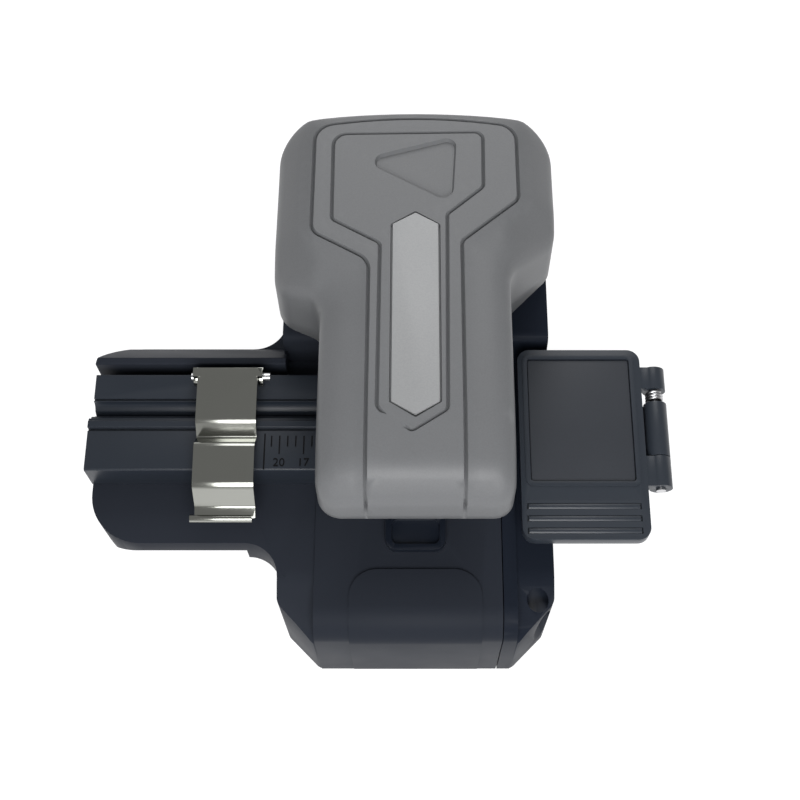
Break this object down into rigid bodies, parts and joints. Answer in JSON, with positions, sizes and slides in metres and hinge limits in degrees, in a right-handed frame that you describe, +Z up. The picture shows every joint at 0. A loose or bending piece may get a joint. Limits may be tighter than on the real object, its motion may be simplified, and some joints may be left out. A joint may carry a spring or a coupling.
{
  "type": "fibre cleaver",
  "caption": "Benchtop optical-fibre cleaver: black casing with a fibre-holder arm and spring clamp, grey press lever over a round blade on a sliding carriage, scrap bin with hinged lid.",
  "frame": {"origin": "below the middle of the overall length and depth, on the plane of the feet's undersides", "axes": "+X to the scrap bin's side, across the lever; +Y to the lever's hinge at the back; +Z up"},
  "size_m": [0.0723, 0.0622, 0.0423],
  "materials": {
    "casing": "satin black coating on cast aluminium",
    "foot_rubber": "matte",
    "screw_steel": "dark zinc",
    "holder": "black anodised, semi-gloss",
    "clamp_steel": "polished",
    "pin_steel": "ground",
    "spring_steel": "drawn wire",
    "rest_metal": "anodised",
    "pad_rubber": "matte",
    "carriage_metal": "satin",
    "blade_metal": "fine ground hard metal",
    "lever_paint": "fine-textured grey coating on cast metal",
    "badge": "satin",
    "frame_metal": "satin black",
    "slide_plastic": "satin",
    "bin_plastic": "satin",
    "panel_rubber": "matte"
  },
  "bodies": {
    "body": {"base_body": "casing", "side_cover": "casing", "bottom_plate": "casing", "rubber_feet": "foot_rubber", "bottom_screws": "screw_steel", "side_screws": "screw_steel", "holder_plate": "holder", "holder_screws": "screw_steel", "clamp_pin": "pin_steel", "clamp_spring": "spring_steel", "fibre_rests": "rest_metal", "lower_pads": "pad_rubber", "rail_blocks": "rest_metal", "rail_screws": "screw_steel", "guide_rods": "pin_steel", "lever_springs": "spring_steel", "hinge_brackets": "frame_metal", "bracket_screws": "screw_steel", "lever_pin": "pin_steel", "bin_box": "bin_plastic", "bin_screws": "screw_steel", "bin_pin": "pin_steel", "bin_spring": "spring_steel"},
    "lever": {"lever_shell": "lever_paint", "lever_badge": "badge", "lever_frame": "frame_metal", "lever_screws": "screw_steel", "drive_cam": "frame_metal", "cam_screws": "screw_steel", "pad_springs": "spring_steel", "anvil_spring": "spring_steel"},
    "pads": {"pad_carrier": "carriage_metal", "upper_pads": "pad_rubber"},
    "anvil_pin": {"anvil": "pin_steel"},
    "carriage": {"blade_carriage": "carriage_metal", "drive_pin": "pin_steel", "blade_hub": "pin_steel", "blade_screw": "screw_steel"},
    "blade": {"blade_wheel": "blade_metal"},
    "clamp": {"fibre_clamp": "clamp_steel"},
    "lock": {"lock_slide": "slide_plastic"},
    "lid": {"bin_lid": "bin_plastic", "lid_panel": "panel_rubber"}
  },
  "joints": [
    {"name": "lever_press", "type": "hinge", "parent": "body", "child": "lever", "pos_m": [0.00455, 0.02497, 0.026], "axis": [1, 0, 0], "range_deg": [0, 11.5], "stiffness_Nm_per_rad": 0.3, "springref_deg": -28.65, "deforming": ["lever_springs"]},
    {"name": "carriage_slide", "type": "slide", "parent": "body", "child": "carriage", "axis": [0, 1, 0], "range_m": [0, 0.0085]},
    {"name": "blade_turn", "type": "hinge", "parent": "carriage", "child": "blade", "pos_m": [0.00785, -0.00823, 0.01394], "axis": [1, 0, 0], "continuous": true},
    {"name": "pad_slide", "type": "slide", "parent": "lever", "child": "pads", "axis": [0, 0.1994, 0.9799], "range_m": [0, 0.0008], "stiffness_N_per_m": 400, "springref_m": -0.0005, "deforming": ["pad_springs"]},
    {"name": "anvil_slide", "type": "slide", "parent": "lever", "child": "anvil_pin", "axis": [0, 0.1994, 0.9799], "range_m": [0, 0.0008], "stiffness_N_per_m": 200, "springref_m": -0.0005, "deforming": ["anvil_spring"]},
    {"name": "clamp_swing", "type": "hinge", "parent": "body", "child": "clamp", "pos_m": [-0.01875, 0.00052, 0.02525], "axis": [-1, 0, 0], "range_deg": [0, 100], "stiffness_Nm_per_rad": 0.002, "springref_deg": -17.19},
    {"name": "lock_push", "type": "slide", "parent": "body", "child": "lock", "axis": [0, -1, 0], "range_m": [0, 0.0015]},
    {"name": "lid_swing", "type": "hinge", "parent": "body", "child": "lid", "pos_m": [0.0347, -0.00553, 0.02275], "axis": [0, 1, 0], "range_deg": [0, 110], "stiffness_Nm_per_rad": 0.002, "springref_deg": -22.92}
  ],
  "couplings": [
    {"joint": "carriage_slide", "follows": "lever_press", "m_per_rad": 0.042349}
  ]
}
